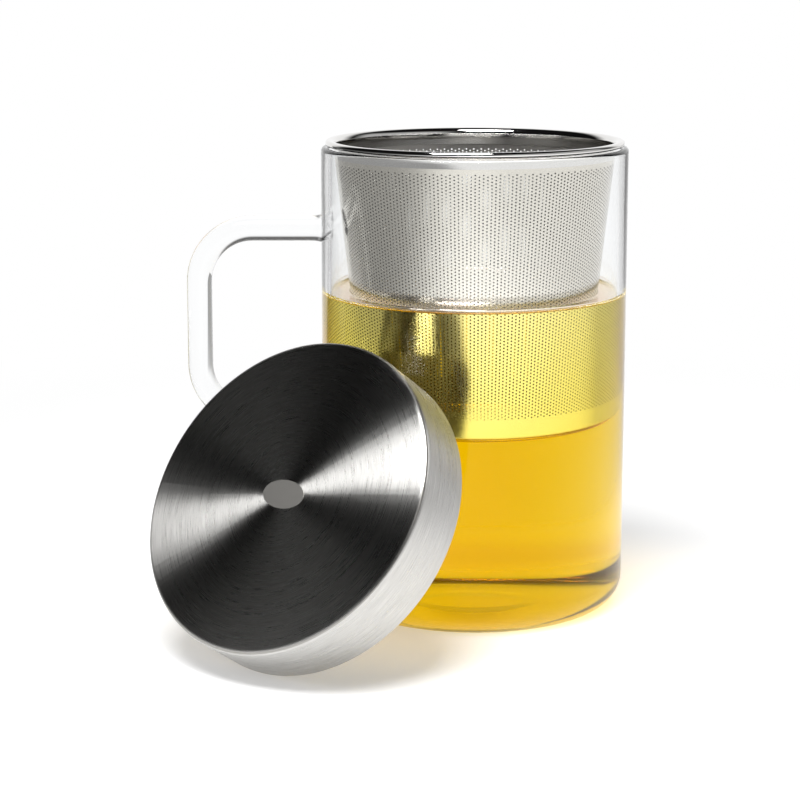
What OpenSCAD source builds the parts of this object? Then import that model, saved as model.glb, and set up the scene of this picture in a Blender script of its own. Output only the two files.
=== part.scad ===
// Glass tea mug with a perforated steel infuser hanging in it and a steel cap leaning on its side.
// Origin: centre of the mug's base, on the table. +Z up, handle towards -X, front of the mug at -Y.

/* [Mug] */
// Outer diameter of the glass
mug_od = 85; // [78:0.5:95]
// Height of the glass rim above the table
mug_h = 129.5; // [120:0.5:150]
// Thickness of the glass wall
glass_wall = 2.2; // [1.8:0.1:3]
// Thickness of the glass under the tea
base_t = 2.6; // [2:0.1:6]
// Radius of the outer corner at the foot of the glass
foot_r = 9.2; // [4:0.2:12]
// Radius of the inner corner round the floor
floor_r = 7; // [6:0.2:12]

/* [Handle] */
// Diameter of the glass rod
rod_d = 7; // [5:0.5:9]
// Height of the upper run's centre line
handle_top_z = 106.7; // [98:0.1:108]
// Height of the lower run's centre line
handle_low_z = 53.4; // [40:0.1:62]
// Distance from the mug's side to the rod's centre line
handle_reach = 34.2; // [28:0.2:40]
// Bend radius of the rod's centre line
bend_r = 15; // [8:0.5:18]
// How much wider the rod is where it is fused to the mug
foot_flare = 1.4; // [0:0.1:3]
// Length of the flared foot along the rod
foot_len = 2.4; // [1:0.2:4]

/* [Infuser rim] */
// Play between the lip and the glass rim under it
lip_gap = 0.25; // [0.2:0.05:0.5]
// How far the lip's edge lies inside the outside of the glass
lip_inset = 1.2; // [0.6:0.1:1.8]
// Thickness of the rolled lip
lip_t = 1.6; // [1.2:0.1:2.4]
// Play between the basket's neck and the inside of the glass
neck_play = 1.3; // [0.8:0.1:3]
// Height of the straight neck under the lip
neck_h = 3; // [2:0.5:6]
// Thickness of the sheet steel
sheet_t = 0.6; // [0.4:0.1:1]

/* [Infuser basket] */
// Depth of the basket from the lip's underside to the wall's lower edge
wall_depth = 75.6; // [60:0.2:100]
// How much the wall draws in on each side from top to bottom
wall_taper = 8.2; // [3:0.2:12]
// Plain band above the holes
top_band = 2.6; // [1:0.2:8]
// Plain band below the holes
low_band = 8.4; // [6:0.2:16]
// Height of the floor pan's upturned flange
pan_flange_h = 7; // [4:0.5:10]
// Depth of the floor pan's rounded corner below the wall
pan_drop = 1.5; // [1:0.1:3]
// Diameter of a strainer hole
hole_d = 2.2; // [1:0.1:3]
// Rows of holes up the wall
hole_rows = 8; // [3:1:12]
// Holes in one row of the wall
holes_per_row = 14; // [8:1:24]
// Rings of holes in the floor
floor_rings = 3; // [1:1:4]

/* [Lid] */
// Depth of the cap
lid_depth = 17; // [12:0.5:20]
// Thickness of the cap's sheet
lid_sheet = 0.6; // [0.5:0.1:1.2]
// Play between the closed cap's skirt and the glass
lid_clear = 0.3; // [0.2:0.1:1]
// Radius of the edge between the face and the skirt
lid_edge_r = 1.4; // [1:0.1:3]
// Angle of the cap's axis above the table as it leans
lid_lean = 33; // [20:0.5:60]
// Heading of the leaning cap round the mug, from the +X axis
lid_heading = -129; // [-140:0.5:-105]
// Gap between the leaning cap and the glass
lean_gap = 0.3; // [0.2:0.1:1]

/* [Hidden] */
$fn = 96;
eps = 0.01;
mug_r = mug_od / 2;
bore_r = mug_r - glass_wall;
rim_r = glass_wall / 2;

handle_x = -mug_r - handle_reach;

lip_r = mug_r - lip_inset;
lip_z = mug_h + lip_gap;
neck_r = bore_r - neck_play;
neck_z = lip_z - neck_h;
wall_h = wall_depth - neck_h;
wall_z = neck_z - wall_h;
wall_low_r = neck_r - wall_taper;
// outer radius of the wall at height z
function wall_r(z) = wall_low_r + wall_taper * (z - wall_z) / wall_h;

hole_top_z = neck_z - top_band;
hole_low_z = wall_z + low_band;
row_pitch = (hole_top_z - hole_low_z) / (hole_rows - 1);
turn = 360 / holes_per_row;

pan_r = wall_low_r - sheet_t;
pan_bottom_z = wall_z - pan_drop;
pan_flange_z = wall_z + pan_flange_h;
ring_pitch = (pan_r - pan_drop - hole_d) / (floor_rings + 0.5);

lid_r = mug_r + lid_clear + lid_sheet;
// the cap's open rim stands on the table at its lowest point and leans on the glass at its highest
lid_back_z = lid_r * cos(lid_lean);
lid_back_x = mug_r + lean_gap + lid_r * sin(lid_lean);

// half section of a round cup or cap: flat end at z = 0, rounded corner, open at the top
module cup_section(r, h, corner) {
    square([r - corner, corner + eps]);
    translate([0, corner]) square([r, h - corner]);
    translate([r - corner, corner]) circle(r = corner);
}

module mug_body() {
    color([0.86, 0.93, 0.94, 0.35]) rotate_extrude() {
        difference() {
            cup_section(mug_r, mug_h - rim_r, foot_r);
            translate([0, base_t]) cup_section(bore_r, mug_h, floor_r);
        }
        // fire-polished rim
        translate([mug_r - rim_r, mug_h - rim_r]) circle(r = rim_r);
    }
}

// quarter bend of the rod, from the +X side of its centre round to the +Z side
module rod_bend() {
    rotate([90, 0, 0]) rotate_extrude(angle = 90) translate([bend_r, 0]) circle(d = rod_d);
}

// one horizontal run with its bend, at the origin's height, from the mug to the upright
module handle_run() {
    bend_x = handle_x + bend_r;
    translate([bend_x, 0, 0]) rotate([0, 90, 0]) cylinder(h = -bend_x - bore_r, d = rod_d);
    translate([-mug_r - foot_len, 0, 0]) rotate([0, 90, 0]) {
        cylinder(h = foot_len, d1 = rod_d, d2 = rod_d + foot_flare);
        translate([0, 0, foot_len]) cylinder(h = glass_wall, d = rod_d + foot_flare);
    }
    translate([bend_x, 0, -bend_r]) mirror([1, 0, 0]) rod_bend();
}

module mug_handle() {
    color([0.86, 0.93, 0.94, 0.35]) difference() {
        union() {
            translate([0, 0, handle_top_z]) handle_run();
            translate([0, 0, handle_low_z]) mirror([0, 0, 1]) handle_run();
            translate([handle_x, 0, handle_low_z + bend_r])
                cylinder(h = handle_top_z - handle_low_z - 2 * bend_r, d = rod_d);
        }
        // the feet end on the outside of the glass
        translate([0, 0, -eps]) cylinder(h = mug_h, r = mug_r);
    }
}

module infuser_rim() {
    roll_r = lip_t / 2;
    color([0.82, 0.82, 0.83]) rotate_extrude() {
        // flat lip that lies on the glass, with its rolled outer edge
        translate([neck_r - sheet_t, lip_z]) square([lip_r - roll_r - neck_r + sheet_t, lip_t]);
        translate([lip_r - roll_r, lip_z + roll_r]) circle(r = roll_r);
        // neck that the perforated wall carries on
        translate([neck_r - sheet_t, neck_z]) square([sheet_t, neck_h + eps]);
    }
}

// level bores that point at the axis, each row turned by half a hole's turn from the last
module wall_holes() {
    drill_x = wall_low_r - sheet_t - hole_d;
    for (row = [0 : hole_rows - 1], k = [0 : holes_per_row - 1])
        rotate([0, 0, (k + (row % 2) / 2) * turn])
            translate([drill_x, 0, hole_low_z + row * row_pitch])
                rotate([0, 90, 0]) cylinder(h = neck_r + hole_d - drill_x, d = hole_d, $fn = 16);
}

module infuser_wall() {
    color([0.76, 0.75, 0.72]) difference() {
        translate([0, 0, wall_z]) cylinder(h = wall_h, r1 = wall_low_r, r2 = neck_r);
        translate([0, 0, wall_z]) cylinder(h = wall_h, r1 = wall_low_r - sheet_t, r2 = neck_r - sheet_t);
        wall_holes();
    }
}

module infuser_floor() {
    flange_r = wall_r(pan_flange_z) - sheet_t;
    color([0.72, 0.71, 0.68]) difference() {
        union() {
            // flange that lies flush inside the wall's lower end
            translate([0, 0, wall_z]) cylinder(h = pan_flange_h, r1 = pan_r, r2 = flange_r);
            translate([0, 0, pan_bottom_z]) rotate_extrude() cup_section(pan_r, pan_drop, pan_drop - eps);
        }
        translate([0, 0, wall_z]) cylinder(h = pan_flange_h, r1 = pan_r - sheet_t, r2 = flange_r - sheet_t);
        translate([0, 0, pan_bottom_z + sheet_t]) cylinder(h = pan_drop, r = pan_r - pan_drop);
        translate([0, 0, pan_bottom_z - 1]) {
            cylinder(h = 3, d = hole_d, $fn = 16);
            for (ring = [1 : floor_rings], k = [0 : 6 * ring - 1])
                rotate([0, 0, k * 60 / ring]) translate([ring * ring_pitch, 0, 0])
                    cylinder(h = 3, d = hole_d, $fn = 16);
        }
    }
}

// the cap in its own place: open rim in the plane z = 0, face at z = lid_depth
module lid_cap() {
    translate([0, 0, lid_depth]) mirror([0, 0, 1]) rotate_extrude() difference() {
        cup_section(lid_r, lid_depth, lid_edge_r);
        translate([0, lid_sheet]) cup_section(lid_r - lid_sheet, lid_depth, lid_edge_r - lid_sheet);
    }
}

module lid_shell() {
    color([0.55, 0.55, 0.56]) rotate([0, 0, lid_heading])
        translate([lid_back_x, 0, lid_back_z]) rotate([0, 90 - lid_lean, 0]) lid_cap();
}

mug_body();
mug_handle();
infuser_rim();
infuser_wall();
infuser_floor();
lid_shell();
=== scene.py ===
# %% [markdown]
# # A glass tea mug with a steel infuser and a brushed cap
# The real mug is a straight beaker of thin, heat-proof glass with a bent glass rod fused to it as a handle.
# A steel basket with thousands of fine holes hangs in its mouth, and its deep steel cap leans on the side.
# The solids of the part are loaded first, and every piece below is built round them, so nothing changes its
# size or its place.

# %% Load the solids that everything is built round
from math import cos, degrees, pi, radians, sin, sqrt, tan, tau

import bmesh
import bpy
from mathutils import Euler, Matrix, Vector


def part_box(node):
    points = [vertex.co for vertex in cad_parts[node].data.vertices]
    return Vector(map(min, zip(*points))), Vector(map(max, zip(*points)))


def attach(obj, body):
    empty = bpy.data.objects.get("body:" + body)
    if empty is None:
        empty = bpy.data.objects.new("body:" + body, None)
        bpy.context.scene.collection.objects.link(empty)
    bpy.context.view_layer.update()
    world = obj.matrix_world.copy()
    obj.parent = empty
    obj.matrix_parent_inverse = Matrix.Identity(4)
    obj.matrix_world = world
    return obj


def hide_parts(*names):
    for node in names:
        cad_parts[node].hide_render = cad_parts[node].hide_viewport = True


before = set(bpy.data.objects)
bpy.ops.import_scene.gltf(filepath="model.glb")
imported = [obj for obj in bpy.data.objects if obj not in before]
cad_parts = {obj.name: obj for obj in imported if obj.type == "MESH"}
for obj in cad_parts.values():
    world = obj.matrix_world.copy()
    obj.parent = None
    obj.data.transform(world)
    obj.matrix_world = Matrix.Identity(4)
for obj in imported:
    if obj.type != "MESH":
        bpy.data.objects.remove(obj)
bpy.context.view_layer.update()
MM = 0.001

# %% [markdown]
# ## Measures
# A maker works from a few main sizes. The outside ones are read from the solids, so that they can't drift
# apart. The others, such as the thickness of the glass, are written here in millimetres.

# %% Main sizes in millimetres
def span(node):
    """The lowest and the highest corner of one node of the part."""
    low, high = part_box(node)
    return low / MM, high / MM


MUG_R, MUG_H = span("mug_body")[1].x, span("mug_body")[1].z
GLASS_WALL, GLASS_FLOOR = 2.2, 2.6
FOOT_R, FLOOR_R = 9.2, 7.0
BORE_R = MUG_R - GLASS_WALL
TEA_LEVEL, CLIMB = 88.7, 1.3
print(f"mug {2 * MUG_R:.1f} wide and {MUG_H:.1f} high, bore {2 * BORE_R:.1f}, tea up to {TEA_LEVEL}")

# %% [markdown]
# ## Camera
# The picture was taken with a long lens from a little above the rim, so upright lines stay nearly upright.
# The place and the lens come from matching the rim, the base and the cap. The camera looks along +Y, tipped
# down.

# %% The camera
TIP, TURN = 0.1961, -0.0020
eye = bpy.data.cameras.new("eye")
eye.sensor_width, eye.lens = 36.0, 105.48
eye.clip_start, eye.clip_end = 0.05, 60.0
camera = bpy.data.objects.new("camera", eye)
camera.location = Vector((-21.93, -649.5, 186.9)) * MM
camera.rotation_euler = Euler((pi / 2 - TIP, 0.0, TURN))
bpy.context.collection.objects.link(camera)
bpy.context.scene.camera = camera
bpy.context.scene.view_settings.view_transform = "Standard"
print(f"lens {eye.lens:.2f} mm, tipped down {degrees(TIP):.1f} degrees")

# %% [markdown]
# ## Shader sums
# A finish is worked out from a few sums over the surface. Written as nodes, a sum is hard to read, so one
# small class wraps a socket and lets Python's own signs add the Math nodes. A second class holds the
# material, or the world, and its add method makes every node.

# %% A socket that can be added, multiplied and compared
class Signal:
    def __init__(self, finish, socket):
        self.finish, self.socket = finish, socket

    def math(self, operation, *values):
        inputs = dict(enumerate((self, *values)))
        return self.finish.add("ShaderNodeMath", {"operation": operation}, inputs)

    def __add__(self, other):
        return self.math("ADD", other)

    def __sub__(self, other):
        return self.math("SUBTRACT", other)

    def __rsub__(self, other):
        return self.finish.add("ShaderNodeMath", {"operation": "SUBTRACT"}, {0: other, 1: self})

    def __mul__(self, other):
        return self.math("MULTIPLY", other)

    def __gt__(self, other):
        return self.math("GREATER_THAN", other)

    def __lt__(self, other):
        return self.math("LESS_THAN", other)

    def most(self, other):
        return self.math("MAXIMUM", other)

    def step(self, start, end):
        """0 before start, 1 after end, and a soft rise between them."""
        return self.finish.add("ShaderNodeMapRange", {"interpolation_type": "SMOOTHSTEP"},
                               {"Value": self, "From Min": start, "From Max": end})


# %% A material, or the world, built node by node
class Finish:
    def __init__(self, owner):
        owner.use_nodes = True
        self.owner, self.tree = owner, owner.node_tree
        self.tree.nodes.clear()

    def add(self, kind, settings=None, inputs=None, out=0):
        node = self.tree.nodes.new(kind)
        for key, value in (settings or {}).items():
            setattr(node, key, value)
        for key, value in (inputs or {}).items():
            if isinstance(value, Signal):
                self.tree.links.new(value.socket, node.inputs[key])
            else:
                node.inputs[key].default_value = value
        return Signal(self, node.outputs[out])

    def axes(self, vector):
        """The three parts of a vector."""
        node = self.add("ShaderNodeSeparateXYZ", {}, {0: vector}).socket.node
        return [Signal(self, socket) for socket in node.outputs]

    def ray(self, kind):
        """1 for rays of one kind, such as Glossy, and 0 for all others."""
        return self.add("ShaderNodeLightPath", out=f"Is {kind} Ray")

    def blend(self, factor, a, b):
        """A colour that goes from a to b."""
        return self.add("ShaderNodeMix", {"data_type": "RGBA"}, {0: factor, 6: a, 7: b}, out=2)

    def noise(self, vector, scale, detail=2.0, roughness=0.5):
        return self.add("ShaderNodeTexNoise", {}, {
            "Vector": vector, "Scale": scale, "Detail": detail, "Roughness": roughness})

    def bump(self, height, distance):
        return self.add("ShaderNodeBump", {}, {"Height": height, "Distance": distance})

    def surface(self, shader, volume=None):
        """Wires the shader to the output, and gives back the material or the world."""
        is_world = isinstance(self.owner, bpy.types.World)
        node = self.tree.nodes.new("ShaderNodeOutputWorld" if is_world else "ShaderNodeOutputMaterial")
        self.tree.links.new(shader.socket, node.inputs["Surface"])
        if volume:
            self.tree.links.new(volume.socket, node.inputs["Volume"])
        return self.owner


# %% Small helpers for finishes
def material(name):
    return Finish(bpy.data.materials.new(name))


def grey(level):
    return (level, level, level, 1.0)


def from_axis(x, y):
    """How far a point is from the upright line through the middle of the mug."""
    return (x * x + y * y).math("SQRT")


# %% [markdown]
# ## Light
# A small product studio: a white sheet under and behind the object, one large softbox overhead and a little
# in front of it, and an unlit room. Glass and polished steel show the room itself, so the world answers
# differently to each kind of ray. The camera sees clean white. Metal sees the sheet where it hangs, half as
# bright a card on the right, and dark elsewhere. Glass sees a pale room with a dark ceiling, which draws
# its edges grey. Soft light comes mostly from behind.

# %% Where each bright part of the room begins and is full, along an arrow of length 1
BACKDROP, BACKDROP_TOP, CARD_SIDE, CARD_BACK = (0.55, 0.85), (0.45, 0.75), (0.1, 0.6), (0.2, 0.6)
GLASS_BACK, GLASS_TOP, SOFT_BACK = (-0.2, 0.6), (0.28, 0.50), (0.3, 0.8)
print("the backdrop is full from", BACKDROP[1], "ahead")

# %% How bright the room is, in parts of white
CARD, UNLIT = 0.5, 0.006
GLASS_ROOM, GLASS_MORE, CEILING = 0.52, 0.38, 0.10
SOFT_ROOM, SOFT_MORE = 0.32, 0.5
print(f"through glass the room is {GLASS_ROOM + GLASS_MORE + CEILING:.2f} and its ceiling {CEILING:.2f}")

# %% The world
room = Finish(bpy.data.worlds.new("studio"))
bpy.context.scene.world = room.owner
side, ahead, up = room.axes(room.add("ShaderNodeTexCoord", out="Generated"))
low_enough = 1 - up.step(*BACKDROP_TOP)
card_right = side.step(*CARD_SIDE) * (1 - ahead.step(*CARD_BACK)) * CARD
off_metal = (ahead.step(*BACKDROP) + card_right) * low_enough + UNLIT
through_glass = (1 - up.step(*GLASS_TOP)) * (ahead.step(*GLASS_BACK) * GLASS_MORE + GLASS_ROOM) + CEILING
soft_light = ahead.step(*SOFT_BACK) * SOFT_MORE + SOFT_ROOM
strength = off_metal
for kind, level in (("Transmission", through_glass), ("Camera", 1.0), ("Diffuse", soft_light)):
    strength = strength + room.ray(kind) * (level - strength)
    print("the world answers apart for", kind)
room.surface(room.add("ShaderNodeBackground", {}, {"Color": grey(1.0), "Strength": strength}))
room.owner.cycles.sampling_method = "NONE"

# %% The softbox
LAMP_AIM, LAMP_AWAY = Vector((-0.04, -0.05, 0.04)), 0.8
LAMP_WAY = Vector((-0.10, -0.38, 0.88)).normalized()
lamp = bpy.data.lights.new("softbox_overhead", "AREA")
lamp.shape, lamp.size, lamp.size_y, lamp.energy = "RECTANGLE", 0.42, 0.34, 9.5
softbox = bpy.data.objects.new("softbox_overhead", lamp)
softbox.location = LAMP_AIM + LAMP_WAY * LAMP_AWAY
softbox.rotation_euler = LAMP_WAY.to_track_quat("Z", "Y").to_euler()
softbox.visible_camera = False
bpy.context.collection.objects.link(softbox)
print(f"softbox {lamp.size:.2f} x {lamp.size_y:.2f} m, {lamp.energy} W, at", softbox.location)

# %% [markdown]
# ## Table
# The table is the near part of a white sheet. Close to the object it is lit and takes its shadow. Further
# away it turns into the plain white of the backdrop, because the softbox doesn't light it evenly that far.
# The part of it left of the mug is white to the camera only: steel and glass see it dark there, so that the
# cap keeps its dark face and the glass its edges. They see it white straight behind the mug. Next to the
# mug the camera sees the paper a little brighter and warmer. On the real table that is light from the tea,
# and tracing it would take very long, so here it is a colour.

# %% A flat round sheet
TABLE_R, TABLE_DROP = 12.0, 0.00005


def meshed(name, bm):
    """Makes a bmesh an object of the scene."""
    mesh = bpy.data.meshes.new(name)
    bm.to_mesh(mesh)
    bm.free()
    made = bpy.data.objects.new(name, mesh)
    bpy.context.collection.objects.link(made)
    return made


sheet = bmesh.new()
bmesh.ops.create_circle(sheet, cap_ends=True, segments=96, radius=TABLE_R)
bmesh.ops.translate(sheet, vec=(0, 0, -TABLE_DROP), verts=sheet.verts)
table = meshed("table", sheet)
print("table", 2 * TABLE_R, "m wide")

# %% Lit paper near the object
LIT_SIDE, WARM_RING = (-0.30, 0.0), (0.045, 0.105)
LEFT_WHITE, RIGHT_LESS, WARM_MORE, STEEL_SEES, GLASS_SEES = 0.82, 0.56, 0.24, 0.35, 0.18
DARK_PAPER, LIT_PAPER, PALE, WARM = grey(0.10), grey(0.76), grey(1.0), (1.0, 0.86, 0.66, 1)
paper = material("white_paper")
camera_ray, glossy_ray, glass_ray = (paper.ray(kind) for kind in ("Camera", "Glossy", "Transmission"))
x, y, _ = paper.axes(paper.add("ShaderNodeTexCoord", out="Object"))
radius = from_axis(x, y)
lit_side = x.step(*LIT_SIDE)
near_mug = 1 - radius.step(*WARM_RING)
for_camera = camera_ray * (LEFT_WHITE - lit_side * RIGHT_LESS + near_mug * WARM_MORE)
for_pieces = (glossy_ray * STEEL_SEES + glass_ray * GLASS_SEES) * lit_side
lit = paper.add("ShaderNodeBsdfDiffuse", {}, {"Color": paper.blend(lit_side, DARK_PAPER, LIT_PAPER)})
lift = paper.add("ShaderNodeEmission", {}, {
    "Color": paper.blend(near_mug, PALE, WARM), "Strength": for_camera + for_pieces})
near = paper.add("ShaderNodeAddShader", {}, {0: lit, 1: lift})
print("paper is warmer within", WARM_RING[1], "m of the mug's middle")

# %% Plain white further away
FAR_RING, BACK_EDGE, SHEET_FRONT, SHEET_RIGHT = (0.17, 0.42), (0.02, 0.20), (-0.40, -0.20), (0.20, 0.6)
STEEL_LEFT, GLASS_LEFT, SLANT, SLANT_EDGE = (-0.25, 0.05), (-0.40, -0.05), 1.2, (0.0, 0.10)
BRIGHT, DIM = 0.68, 0.30
plain = paper.add("ShaderNodeEmission", {}, {"Color": PALE, "Strength": 1.0})
far = radius.step(*FAR_RING)
behind = far.most(y.step(*BACK_EDGE))
straight_behind = (y + x * SLANT).step(*SLANT_EDGE)
on_sheet = y.step(*SHEET_FRONT) * (1 - x.step(*SHEET_RIGHT))
in_steel = x.step(*STEEL_LEFT).most(straight_behind) * on_sheet
in_glass = x.step(*GLASS_LEFT).most(straight_behind) * BRIGHT + DIM
white = far * camera_ray + behind * (glossy_ray * in_steel + glass_ray * in_glass)
paper_finish = paper.surface(paper.add("ShaderNodeMixShader", {}, {0: white, 1: near, 2: plain}))
table.data.materials.append(paper_finish)
print("paper has", len(paper.tree.nodes), "shader nodes")

# %% [markdown]
# ## Turned pieces
# Nearly all of this object is round: blown glass, spun or pressed steel. Such a piece is an outline swept
# once round an axis. The outline starts as a few corner points. Rounding a corner is a vertex bevel, and
# bmesh.ops.spin does the sweep. A wire has no thickness of its own, so the outline goes right round the
# section, and the wall comes with it.

# %% Outlines with rounded corners
MERGE, TURN_STEPS = 1e-6, 160


def outline(bm, corners, segments, closed):
    """Joins corners (x, z) or (x, z, radius) in millimetres into a wire, with those corners rounded."""
    points = [bm.verts.new((corner[0] * MM, 0, corner[1] * MM)) for corner in corners]
    for a, b in zip(points, points[1:]):
        bm.edges.new((a, b))
    if closed:
        bm.edges.new((points[-1], points[0]))
    for corner, point in zip(corners, points):
        if len(corner) == 3:
            a, b = ((edge.other_vert(point).co - point.co).normalized() for edge in point.link_edges)
            turn = pi - a.angle(b)
            bmesh.ops.bevel(bm, geom=[point], offset=corner[2] * MM * tan(turn / 2), offset_type="OFFSET",
                            affect="VERTICES", segments=max(2, round(segments * turn / (pi / 2))),
                            profile=0.5, material=-1, clamp_overlap=False)
    bmesh.ops.remove_doubles(bm, verts=bm.verts, dist=MERGE)


def turned(corners, segments=8, closed=False):
    """Sweeps an outline round the Z axis."""
    bm = bmesh.new()
    outline(bm, corners, segments, closed)
    bmesh.ops.spin(bm, geom=bm.verts[:] + bm.edges[:], cent=(0, 0, 0), axis=(0, 0, 1), angle=tau,
                   steps=TURN_STEPS, use_merge=True)
    bmesh.ops.remove_doubles(bm, verts=bm.verts, dist=MERGE)
    bmesh.ops.recalc_face_normals(bm, faces=bm.faces)
    return bm


# %% A finished piece
SHARP, SHARP_WORKED = radians(35), radians(40)


def triangles(mesh):
    return sum(len(face.vertices) - 2 for face in mesh.polygons)


def piece(name, bm, finish, body, nodes):
    """A piece that rides on a body and stands in for nodes of the part."""
    made = meshed(name, bm)
    made.data.shade_smooth()
    made.data.set_sharp_from_angle(angle=SHARP)
    made.data.materials.append(finish)
    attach(made, body)
    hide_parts(*nodes)
    print(f"{name}: {len(made.data.vertices)} points, {triangles(made.data)} triangles")
    return made


def applied(made):
    """Makes a piece's modifiers part of its mesh, and finds the sharp edges again."""
    bpy.context.view_layer.update()
    evaluated = made.evaluated_get(bpy.context.evaluated_depsgraph_get())
    old, made.data = made.data, bpy.data.meshes.new_from_object(evaluated)
    made.modifiers.clear()
    made.data.name = old.name
    made.data.shade_smooth()
    made.data.set_sharp_from_angle(angle=SHARP_WORKED)
    print(f"{made.name}: {triangles(made.data)} triangles with its modifiers")


# %% [markdown]
# ## Glass
# Heat-proof glass is nearly colourless and bends light with an index of 1.47. Drawn glass is never quite
# even, so a very weak, slow bump moves its reflections a little. The thick corner of the foot has a painted
# warm glow: its tint stands in for the amber light of the tea right above it. Light that reaches paper or
# steel through the glass is let straight through, which keeps the shadow under it clean. So is a ray that
# has been bent or mirrored ten times, because it is caught inside and would end as a black spot. Where tea
# lies against the glass the mirror is nearly gone, so the wet side has none.

# %% Light that goes straight through
CAUGHT = 9.5  # the tenth bend or mirroring of a ray


def straight_through(finish, shader, tint=1.0):
    """Lets shadow rays, rays of soft light and rays that are caught inside pass unbent."""
    caught = finish.add("ShaderNodeLightPath", out="Ray Depth") > CAUGHT
    soft = finish.ray("Shadow").most(finish.ray("Diffuse")).most(caught)
    clear = finish.add("ShaderNodeBsdfTransparent", {}, {"Color": grey(tint)})
    return finish.add("ShaderNodeMixShader", {}, {0: soft, 1: shader, 2: clear})


# %% The glass
# the last tint is a painted glow: it stands in for the tea's amber light in the thick corner of the foot
CLEAR, CLEARER, TEA_GLOW_PAINT = (0.985, 0.993, 0.996, 1), (0.995, 0.998, 1.0, 1), (0.99, 0.94, 0.90, 1)
CORNER_RING, CORNER_TOP = (0.036, 0.041), (0.008, 0.014)
DRY_MIRROR, WET_MIRROR, WET_ROOM = 0.25, 0.0, 0.2
glass = material("heat_proof_glass")
place = glass.add("ShaderNodeTexCoord", out="Object")
x, y, z = glass.axes(place)
waves = glass.noise(place, 40.0, detail=1.0)
corner = from_axis(x, y).step(*CORNER_RING) * (1 - z.step(*CORNER_TOP))
tint = glass.blend(corner, glass.blend(waves, CLEAR, CLEARER), TEA_GLOW_PAINT)


def glass_skin(mirror):
    return glass.add("ShaderNodeBsdfPrincipled", {}, {
        "Base Color": tint, "Roughness": 0.0, "IOR": 1.47, "Transmission Weight": 1.0,
        "Specular Tint": grey(mirror), "Normal": glass.bump(waves, 0.00006)})


bore = from_axis(x, y) < (BORE_R + 0.05) * MM
wet = bore * (z > (GLASS_FLOOR - 0.1) * MM) * (z < (TEA_LEVEL + CLIMB + WET_ROOM) * MM)
skin = glass.add("ShaderNodeMixShader", {}, {0: wet, 1: glass_skin(DRY_MIRROR), 2: glass_skin(WET_MIRROR)})
glass_finish = glass.surface(straight_through(glass, skin, 0.92))
print("glass is wet up to", TEA_LEVEL + CLIMB + WET_ROOM, "mm")

# %% [markdown]
# ## Mug and handle
# The beaker is one outline: flat foot with a slight push-up, rounded corner, straight wall, fire-polished
# rim, and the inside with its own rounder corner. The handle is a rod, so it is pushed out of the wall as a
# circle, bent by a quarter turn of spin, run down, bent again and brought back. The real rod is melted into
# the wall: an exact boolean joins the two, so light doesn't meet a hidden surface inside the joint.

# %% The beaker
PUSH_R, PUSH_UP, PUSH_SLOPE, PUSH_ROUND = 13.0, 0.3, 2.0, 4.0
PUSH_SHIFT = 0.2  # the push-up is wider inside than under the foot


def inside_floor(grown=0.0):
    """The floor inside the beaker, from the middle to the wall, or the same line grown into the glass."""
    high, low = GLASS_FLOOR + PUSH_UP - grown, GLASS_FLOOR - grown
    return [(0, high), (PUSH_R + PUSH_SHIFT - PUSH_SLOPE, high, PUSH_ROUND),
            (PUSH_R + PUSH_SHIFT + PUSH_SLOPE, low, PUSH_ROUND), (BORE_R + grown, low, FLOOR_R + grown)]


outside = [(0, PUSH_UP), (PUSH_R - PUSH_SLOPE, PUSH_UP, PUSH_ROUND), (PUSH_R + PUSH_SLOPE, 0, PUSH_ROUND),
           (MUG_R, 0, FOOT_R), (MUG_R, MUG_H, GLASS_WALL / 2)]
beaker = turned(outside + [(BORE_R, MUG_H, GLASS_WALL / 2)] + inside_floor()[::-1], segments=12)
print("beaker faces", len(beaker.faces))

# %% Where the handle runs
ROD_R, BEND_R = 3.5, 15.0
TOP_Z, LOW_Z = 106.7, 53.4
BEND_X = span("mug_handle")[0].x + ROD_R + BEND_R
FLARE, FLARE_LEN, FLARE_STEPS = 0.35, 2.4, 4
INTO_WALL = 1.0


def rod_r(step):
    """Radius of the rod at a step of its flared foot, counted from the beaker's wall."""
    return ROD_R + FLARE * (1 - sin(step / FLARE_STEPS * pi / 2))


print(f"rod {2 * ROD_R} thick, {2 * rod_r(0)} at its feet")

# %% Rings of points
def points_of(geometry):
    return [v for v in geometry if isinstance(v, bmesh.types.BMVert)]


def edges_between(points):
    """The edges that join these points to each other."""
    among = set(points)
    edges = dict.fromkeys(e for v in points for e in v.link_edges)
    return [e for e in edges if all(v in among for v in e.verts)]


# %% Steps along the rod
def onward(bm, ring, dx, dz, scale=1.0):
    """Pushes the rod's end on, and makes it wider or narrower."""
    new = points_of(bmesh.ops.extrude_edge_only(bm, edges=edges_between(ring))["geom"])
    bmesh.ops.translate(bm, vec=Vector((dx, 0, dz)) * MM, verts=new)
    middle = sum((v.co for v in new), Vector()) / len(new)
    bmesh.ops.scale(bm, vec=(scale,) * 3, space=Matrix.Translation(-middle), verts=new)
    return new


def flared(bm, ring, dx, steps):
    """Takes the rod's end through its flared foot."""
    for before, after in zip(steps, steps[1:]):
        ring = onward(bm, ring, dx / FLARE_STEPS, 0, rod_r(after) / rod_r(before))
    return ring


def bent(bm, ring, centre_z):
    """Takes the rod's end round a quarter bend."""
    turn = bmesh.ops.spin(bm, geom=list(ring) + edges_between(ring), cent=Vector((BEND_X, 0, centre_z)) * MM,
                          axis=(0, 1, 0), angle=-pi / 2, steps=20, use_merge=False)
    return points_of(turn["geom_last"])


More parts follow.
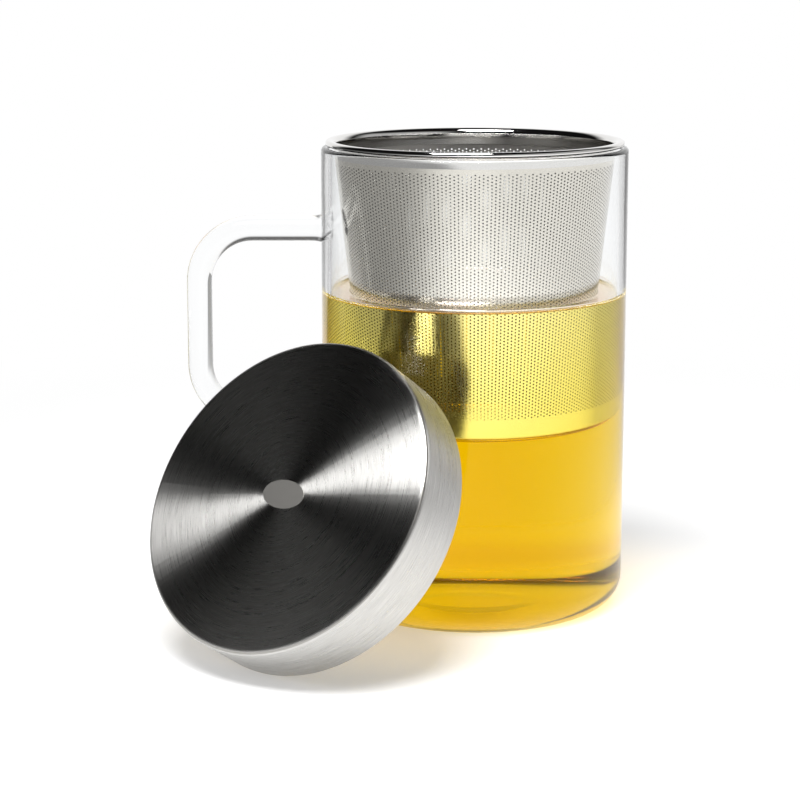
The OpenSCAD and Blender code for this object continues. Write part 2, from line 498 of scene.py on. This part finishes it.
# %% The handle
rod = bmesh.new()
start = Matrix.Translation(Vector((INTO_WALL - MUG_R, 0, TOP_Z)) * MM) @ Matrix.Rotation(-pi / 2, 4, "Y")
ring = bmesh.ops.create_circle(rod, cap_ends=True, segments=32, radius=rod_r(0) * MM, matrix=start)["verts"]
ring = onward(rod, ring, -INTO_WALL, 0)
ring = flared(rod, ring, -FLARE_LEN, range(FLARE_STEPS + 1))
ring = onward(rod, ring, BEND_X + MUG_R + FLARE_LEN, 0)
ring = bent(rod, ring, TOP_Z - BEND_R)
ring = onward(rod, ring, 0, LOW_Z - TOP_Z + 2 * BEND_R)
ring = bent(rod, ring, LOW_Z + BEND_R)
ring = onward(rod, ring, -BEND_X - MUG_R - FLARE_LEN, 0)
ring = flared(rod, ring, FLARE_LEN, range(FLARE_STEPS, -1, -1))
ring = onward(rod, ring, INTO_WALL, 0)
bmesh.ops.holes_fill(rod, edges=rod.edges, sides=0)
bmesh.ops.recalc_face_normals(rod, faces=rod.faces)
print("handle faces", len(rod.faces), "open edges", sum(e.is_boundary for e in rod.edges))

# %% Melt the handle into the beaker
mug = piece("glass_mug", beaker, glass_finish, "mug", ["mug_body", "mug_handle"])
rod_piece = meshed("rod", rod)
join = mug.modifiers.new("join", "BOOLEAN")
join.operation, join.solver, join.object = "UNION", "EXACT", rod_piece
applied(mug)
bpy.data.objects.remove(rod_piece)

# %% [markdown]
# ## Tea
# The tea fills the beaker and soaks the basket. It is one closed body, a tenth of a millimetre larger than
# the bore, so that no film of air is left between tea and glass. Where it meets a wall it climbs it a
# little, which is the bright and dark line that shows at the surface. Its colour is not on its skin: light
# loses blue, then green, on the way through. Seen from this low, the real surface mirrors the steel and the
# bright room and looks pale. Half of the open top is therefore a soft, pale sheen, laid over the clear
# skin.

# %% The tea, up to the glass and up to the basket
SKIN, FILM, RING = 0.1, 0.02, 0.5  # into the glass, off it, and the width of the rise at the basket
BASKET_CLIMB, TAPER = 0.7, 8.2
wall_low, wall_high = span("infuser_wall")


def basket_r(z):
    """Outer radius of the basket's wall at a height."""
    return wall_high.x - TAPER * (wall_high.z - z) / (wall_high.z - wall_low.z)


line_r = basket_r(TEA_LEVEL)
at_glass = [(BORE_R + SKIN, TEA_LEVEL + CLIMB), (BORE_R - FILM, TEA_LEVEL + CLIMB),
            (BORE_R - FILM, TEA_LEVEL, CLIMB - 0.05)]
at_basket = [(line_r, TEA_LEVEL, BASKET_CLIMB - FILM), (line_r, TEA_LEVEL + BASKET_CLIMB),
             (line_r - RING, TEA_LEVEL + BASKET_CLIMB), (line_r - RING, TEA_LEVEL, BASKET_CLIMB - FILM)]
tea_body = turned(inside_floor(SKIN) + at_glass + at_basket + [(0, TEA_LEVEL)], segments=10)
print(f"the tea meets the basket {line_r:.2f} from the middle")

# %% Its skin, its sheen and its colour
SHEEN = 0.5
tea = material("tea")
place = tea.add("ShaderNodeTexCoord", out="Object")
x, y, z = tea.axes(place)
ripple = tea.noise(place, 25.0, detail=0.0)
tea_tint = tea.blend(ripple, (0.998, 0.996, 0.99, 1), (1, 1, 0.995, 1))


def tea_skin(mirror):
    return tea.add("ShaderNodeBsdfPrincipled", {}, {
        "Base Color": tea_tint, "Roughness": 0.0, "IOR": 1.33, "Transmission Weight": 1.0,
        "Specular Tint": grey(mirror), "Normal": tea.bump(ripple, 0.00002)})


open_top = (z > (TEA_LEVEL - 0.05) * MM) * (from_axis(x, y) < (BORE_R - 0.01) * MM)
liquid = tea.add("ShaderNodeMixShader", {}, {0: open_top, 1: tea_skin(0.0), 2: tea_skin(1.0)})
sheen = tea.add("ShaderNodeBsdfPrincipled", {}, {
    "Base Color": (0.96, 0.88, 0.84, 1), "Metallic": 1.0, "Roughness": 0.12})
surface = tea.add("ShaderNodeMixShader", {}, {0: open_top * SHEEN, 1: liquid, 2: sheen})
amber = tea.add("ShaderNodeVolumeAbsorption", {}, {"Color": (0.980, 0.899, 0.024, 1), "Density": 86.0})
tea_finish = tea.surface(straight_through(tea, surface), amber)
piece("brewed_tea", tea_body, tea_finish, "mug", [])

# %% [markdown]
# ## Steel
# The basket and the cap are stainless steel with three finishes. The lip is polished like a mirror. The
# sheet of the basket is satin, with a fine, cloudy grain. Its inside, the walls of its holes and the inside
# of the cap are a darker, rougher steel, and that darkness is painted shade for the light that hardly gets
# in there. The cap is brushed in rings on a lathe: each ring is a tiny groove that scatters light across
# itself but not along itself, which draws the bright wedges on its face.

# %% Polished and satin steel
def steel(name, colour, roughness, grain, vary, bump):
    """Steel without brush marks. Its grain is a noise of that scale, which moves the roughness by vary."""
    finish = material(name)
    place = finish.add("ShaderNodeTexCoord", out="Object")
    cloud = finish.noise(place, 60.0, detail=3.0)
    fine = finish.noise(place, grain, detail=2.0)
    tone = finish.blend(cloud, (*[c * 0.93 for c in colour], 1), (*colour, 1))
    return finish.surface(finish.add("ShaderNodeBsdfPrincipled", {}, {
        "Base Color": tone, "Metallic": 1.0, "Roughness": fine * vary + (roughness - vary / 2),
        "Normal": finish.bump(fine, bump)}))


polished = steel("polished_steel", (0.80, 0.79, 0.77), 0.06, 300.0, 0.03, 0.000002)
satin = steel("satin_steel", (0.78, 0.75, 0.68), 0.16, 1200.0, 0.08, 0.000004)
# painted shade: the inside of the basket and of the cap is darker than the steel is, since little light
# reaches it
inner_shade_steel = steel("inner_steel_painted_shade", (0.36, 0.35, 0.33), 0.34, 900.0, 0.10, 0.000004)
print("steels", polished.name, satin.name, inner_shade_steel.name)

# %% The lip
lip_low, lip_high = span("infuser_rim")
LIP_R, LIP_TOP, LIP_T, LIP_EDGE = lip_high.x, lip_high.z, 1.6, 1.5
NECK_R, NECK_Z, SHEET = wall_high.x, lip_low.z, 0.6
lip = turned([(NECK_R, NECK_Z), (NECK_R, LIP_TOP - LIP_T, SHEET), (LIP_R, LIP_TOP - LIP_T, LIP_T / 2),
              (LIP_R, LIP_TOP, LIP_T / 2), (NECK_R - SHEET, LIP_TOP, LIP_EDGE), (NECK_R - SHEET, NECK_Z)],
             closed=True)
piece("infuser_lip", lip, polished, "infuser", ["infuser_rim"])

# %% [markdown]
# ## Perforated sheet
# The wall of the basket has 16,352 holes of half a millimetre in upright columns, each column set over by
# half a pitch from the last. One hole with the six-sided patch of steel round it fills the plane without
# gaps, so the sheet is laid out flat from copies of that patch. Then it is rolled into a cone and given its
# thickness, as the real sheet is. Four quarter sheets keep each mesh light.

# %% The sheet, laid out flat
SIDES = 6


def flat_sheet(columns, rows, pitch, hole_x, hole_y):
    """Six-sided patches with a hole each: a pitch apart in upright columns, which are one unit apart."""
    bm = bmesh.new()
    for wide, high in ((2 / 3, pitch / sqrt(3)), (hole_x, hole_y)):
        ring = bmesh.ops.create_circle(bm, segments=SIDES, radius=1.0)["verts"]
        bmesh.ops.rotate(bm, cent=(0, 0, 0), matrix=Matrix.Rotation(pi / 2, 3, "Z"), verts=ring)
        bmesh.ops.scale(bm, vec=(wide, high, 1), verts=ring)
    bmesh.ops.bridge_loops(bm, edges=bm.edges)
    second = bmesh.ops.duplicate(bm, geom=bm.verts[:] + bm.edges[:] + bm.faces[:])["geom"]
    bmesh.ops.translate(bm, vec=(1, pitch / 2, 0), verts=points_of(second))
    for copies, shift in ((columns // 2, (2, 0, 0)), (rows, (0, pitch, 0))):
        bmesh.ops.spin(bm, geom=bm.verts[:] + bm.edges[:] + bm.faces[:], dvec=shift, cent=(0, 0, 0),
                       axis=(0, 0, 1), angle=0, steps=copies - 1, use_duplicate=True)
    return bm


# %% The pattern of the wall
HOLE_R, ROUND, ROWS, QUARTERS = 0.25, 224, 73, 4  # ROUND is the number of columns
HOLES_TOP, ROW_PITCH, WALL_T, MIDDLE_Z = 125.2, 0.91, 0.4, 90.0
INSIDE_COLUMN, INSIDE_ROW = 0.3, 0.35
ROWS_HIGH = (ROWS - 0.5) * ROW_PITCH
HOLES_LOW = HOLES_TOP - ROWS_HIGH
column_pitch = tau * basket_r(MIDDLE_Z) / ROUND
print("holes in the wall", ROUND * ROWS, "and their columns at mid height", round(column_pitch, 3), "apart")


def is_hole(point):
    """A point on the edge of a hole lies well inside its patch, by parts of a column and of a row."""
    column = round(point.co.x)
    row = (point.co.y - (column % 2) * ROW_PITCH / 2) / ROW_PITCH
    return abs(point.co.x - column) < INSIDE_COLUMN and abs(row - round(row)) < INSIDE_ROW


# %% Plain bands above and below the holes
def plain_band(bm, sign, line, edge_z):
    """Levels the sheet above (sign 1) or below (sign -1) a line of holes, and draws it on to a height."""
    level = line + sign * ROW_PITCH / 2
    rim = [v for v in bm.verts if sign * (v.co.y - line) > -0.01 * ROW_PITCH and not is_hole(v)]
    for v in rim:
        v.co.y = level
    edges = [e for e in edges_between(rim) if e.is_boundary]
    band = points_of(bmesh.ops.extrude_edge_only(bm, edges=edges)["geom"])
    bmesh.ops.translate(bm, vec=(0, edge_z - HOLES_LOW - level, 0), verts=band)


# %% Thickness
def thickened(made):
    """Gives a sheet its thickness on the inside. That side and the edges of the holes get the darker inner
    steel, which is painted shade.
    """
    made.data.materials.append(inner_shade_steel)
    thick = made.modifiers.new("thickness", "SOLIDIFY")
    thick.thickness, thick.offset = WALL_T * MM, -1
    thick.material_offset = thick.material_offset_rim = 1
    applied(made)


# %% Roll the wall in four quarters
def wall_quarter(quarter):
    columns = ROUND // QUARTERS
    bm = flat_sheet(columns, ROWS, ROW_PITCH, HOLE_R / column_pitch, HOLE_R)
    bmesh.ops.remove_doubles(bm, verts=bm.verts, dist=1e-4)
    plain_band(bm, 1, ROWS_HIGH, wall_high.z)
    plain_band(bm, -1, 0, wall_low.z)
    for v in bm.verts:
        angle, z = (v.co.x + quarter * columns) / ROUND * tau, v.co.y + HOLES_LOW
        v.co = Vector((basket_r(z) * cos(angle), basket_r(z) * sin(angle), z)) * MM
    bmesh.ops.recalc_face_normals(bm, faces=bm.faces)
    if sum(f.normal.xy.dot(f.calc_center_median().xy) for f in bm.faces) < 0:
        bmesh.ops.reverse_faces(bm, faces=bm.faces)
    return bm


for quarter in range(QUARTERS):
    thickened(piece(f"basket_wall_{quarter + 1}", wall_quarter(quarter), satin, "infuser", ["infuser_wall"]))

# %% [markdown]
# ## Basket floor
# The floor is a shallow pan of the same sheet. Its flange points up inside the wall and is welded there, so
# it closes the lowest holes, which therefore look pale in the photograph. The perforated middle is laid out
# flat, cut to a round by leaving out far patches, filled out to a circle, and its edge is drawn up in small
# steps.

# %% The holes of the floor, laid out flat
PAN_HOLES_R = 26.5
columns, rows = (2 * round(PAN_HOLES_R / pitch) + 2 for pitch in (1.0, ROW_PITCH))
pan = flat_sheet(columns, rows, ROW_PITCH, HOLE_R, HOLE_R)
bmesh.ops.translate(pan, vec=(-columns / 2, -rows * ROW_PITCH / 2, 0), verts=pan.verts)
faces = pan.faces[:]
beyond = []
for patch in (faces[k:k + SIDES] for k in range(0, len(faces), SIDES)):
    middle = sum((f.calc_center_median() for f in patch), Vector()) / SIDES
    if middle.length > PAN_HOLES_R:
        beyond += patch
bmesh.ops.delete(pan, geom=beyond, context="FACES")
bmesh.ops.remove_doubles(pan, verts=pan.verts, dist=1e-3)
print("holes in the floor", len(pan.faces) // SIDES)

# %% Fill it out to a circle
pan_low, pan_high = span("infuser_floor")
PAN_R, PAN_CORNER, PAN_ROUND = basket_r(wall_low.z) - WALL_T, 1.5, 116
rim = [e for e in pan.edges if e.is_boundary and e.calc_length() > 1.3 * HOLE_R
       and min(v.co.length for v in e.verts) > PAN_HOLES_R - 2]
ring = list(bmesh.ops.create_circle(pan, segments=PAN_ROUND, radius=PAN_R - PAN_CORNER)["verts"])
bmesh.ops.triangle_fill(pan, edges=rim + edges_between(ring), use_beauty=True)
print("floor filled out to", round(PAN_R - PAN_CORNER, 2))

# %% Draw its edge up
CORNER_STEPS = 4
turns = [pi / 2 * k / CORNER_STEPS for k in range(1, CORNER_STEPS + 1)]
bend = [(PAN_R - PAN_CORNER * (1 - sin(turn)), PAN_CORNER * (1 - cos(turn))) for turn in turns]
for radius, height in bend + [(basket_r(pan_high.z) - WALL_T, pan_high.z - pan_low.z)]:
    ring = points_of(bmesh.ops.extrude_edge_only(pan, edges=edges_between(ring))["geom"])
    grown = radius / ring[0].co.xy.length
    bmesh.ops.scale(pan, vec=(grown, grown, 1), verts=ring)
    bmesh.ops.translate(pan, vec=(0, 0, height - ring[0].co.z), verts=ring)
bmesh.ops.scale(pan, vec=(MM,) * 3, verts=pan.verts)
bmesh.ops.translate(pan, vec=(0, 0, pan_low.z * MM), verts=pan.verts)
bmesh.ops.recalc_face_normals(pan, faces=pan.faces)
if sum(f.normal.z for f in pan.faces) > 0:
    bmesh.ops.reverse_faces(pan, faces=pan.faces)
thickened(piece("basket_floor", pan, satin, "infuser", ["infuser_floor"]))

# %% [markdown]
# ## Cap
# The cap is a deep round of sheet steel, brushed on a lathe. It was taken off and leans on the mug: the
# open rim stands on the table at its lowest point, and at its highest it comes within 0.3 mm of the glass.
# It is turned flat at the origin first, because its groove map is easiest there. The map runs outwards from
# the middle, over the edge and down the skirt, so the tangent of the map always points across the grooves.
# Then the piece is moved into its lean.

# %% Where the cap leans
CAP_CLEAR, CAP_SHEET, CAP_DEPTH, CAP_EDGE, CAP_LIP = 0.3, 0.6, 17.0, 1.4, 0.28
CAP_R = MUG_R + CAP_CLEAR + CAP_SHEET
LEAN, HEADING, LEAN_GAP = radians(33), radians(-129), 0.3
cap_place = (Matrix.Rotation(HEADING, 4, "Z")
             @ Matrix.Translation(Vector((MUG_R + LEAN_GAP + CAP_R * sin(LEAN), 0, CAP_R * cos(LEAN))) * MM)
             @ Matrix.Rotation(pi / 2 - LEAN, 4, "Y"))
print("the cap's face looks towards", tuple(round(c, 3) for c in cap_place.to_3x3() @ Vector((0, 0, 1))))

# %% Brushed steel
def brushed(name, colour, roughness, depth):
    """Steel with grooves that run round the piece: its map's U points across them."""
    finish = material(name)
    across, along, _ = finish.axes(finish.add("ShaderNodeUVMap", {"uv_map": "grooves"}))
    scratch_at = finish.add("ShaderNodeCombineXYZ", {}, {0: across * 7000.0, 1: along * 26.0})
    scratches = finish.noise(scratch_at, 1.0, detail=3.0, roughness=0.6)
    broad_at = finish.add("ShaderNodeCombineXYZ", {}, {0: across * 900.0, 1: along * 2.0})
    broad = finish.noise(broad_at, 1.0)
    tone = finish.blend(scratches.step(0.30, 0.70), (*[c * 0.74 for c in colour], 1), (*colour, 1))
    rough = scratches * 0.06 + broad * 0.04 + (roughness - 0.05)
    return finish.surface(finish.add("ShaderNodeBsdfPrincipled", {}, {
        "Base Color": tone, "Metallic": 1.0, "Roughness": rough, "Anisotropic": 1.0,
        "Normal": finish.bump(scratches, depth),
        "Tangent": finish.add("ShaderNodeTangent", {"direction_type": "UV_MAP", "uv_map": "grooves"})}))


cap_steel = brushed("brushed_cap_steel", (0.66, 0.65, 0.63), 0.28, 0.000002)
print("brushed steel", cap_steel.name)

# %% The cap, with two more rings on its face to keep the groove map even
inner_r, inner_top = CAP_R - CAP_SHEET, CAP_DEPTH - CAP_SHEET
cap = turned([(0, CAP_DEPTH), (8, CAP_DEPTH), (24, CAP_DEPTH), (CAP_R, CAP_DEPTH, CAP_EDGE),
              (CAP_R, 0, CAP_LIP), (inner_r, 0, CAP_LIP), (inner_r, inner_top, CAP_EDGE - CAP_SHEET),
              (0, inner_top)])
print("faces of the cap", len(cap.faces))

# %% Its groove map and its inside, painted dark as shade
grooves = cap.loops.layers.uv.new("grooves")
half_sheet = CAP_SHEET / 2
for face in cap.faces:
    middle = face.calc_center_median()
    for loop in face.loops:
        p = loop.vert.co
        r = p.xy.length
        beside = middle.xy.angle_signed(p.xy) if r > MERGE else 0.0
        angle = Vector((1, 0)).angle_signed(middle.xy) + beside
        loop[grooves].uv = (r - p.z + CAP_DEPTH * MM, angle / tau)
    within_skirt = middle.xy.length < (CAP_R - half_sheet) * MM
    face.material_index = int(within_skirt and middle.z < (CAP_DEPTH - half_sheet) * MM)
bmesh.ops.transform(cap, matrix=cap_place, verts=cap.verts)
cap_piece = piece("cap", cap, cap_steel, "lid", ["lid_shell"])
# the inside of the cap takes the dark inner steel, as painted shade
cap_piece.data.materials.append(inner_shade_steel)
print("faces inside the cap", sum(face.material_index for face in cap_piece.data.polygons))

# %% [markdown]
# ## Mark
# A small oval at the middle of the face is left satin, as an etched mark is. It is a very thin plate of its
# own and bears nothing.

# %% The plain oval mark
MARK_LONG, MARK_SHORT, MARK_T, MARK_SUNK = 13.5, 7.8, 0.06, 0.02
mark = bmesh.new()
bmesh.ops.create_circle(mark, cap_ends=True, segments=48, radius=0.5 * MM)
bmesh.ops.scale(mark, vec=(MARK_LONG, MARK_SHORT, 1), verts=mark.verts)
raised = bmesh.ops.extrude_face_region(mark, geom=mark.faces[:])["geom"]
bmesh.ops.translate(mark, vec=(0, 0, MARK_T * MM), verts=points_of(raised))
bmesh.ops.recalc_face_normals(mark, faces=mark.faces)
on_face = Matrix.Translation((0, 0, (CAP_DEPTH - MARK_SUNK) * MM)) @ Matrix.Rotation(pi / 2, 4, "Z")
bmesh.ops.transform(mark, matrix=cap_place @ on_face, verts=mark.verts)
mark_steel = steel("etched_steel", (0.74, 0.72, 0.68), 0.42, 2500.0, 0.10, 0.000004)
piece("cap_mark", mark, mark_steel, "lid", ["lid_shell"])
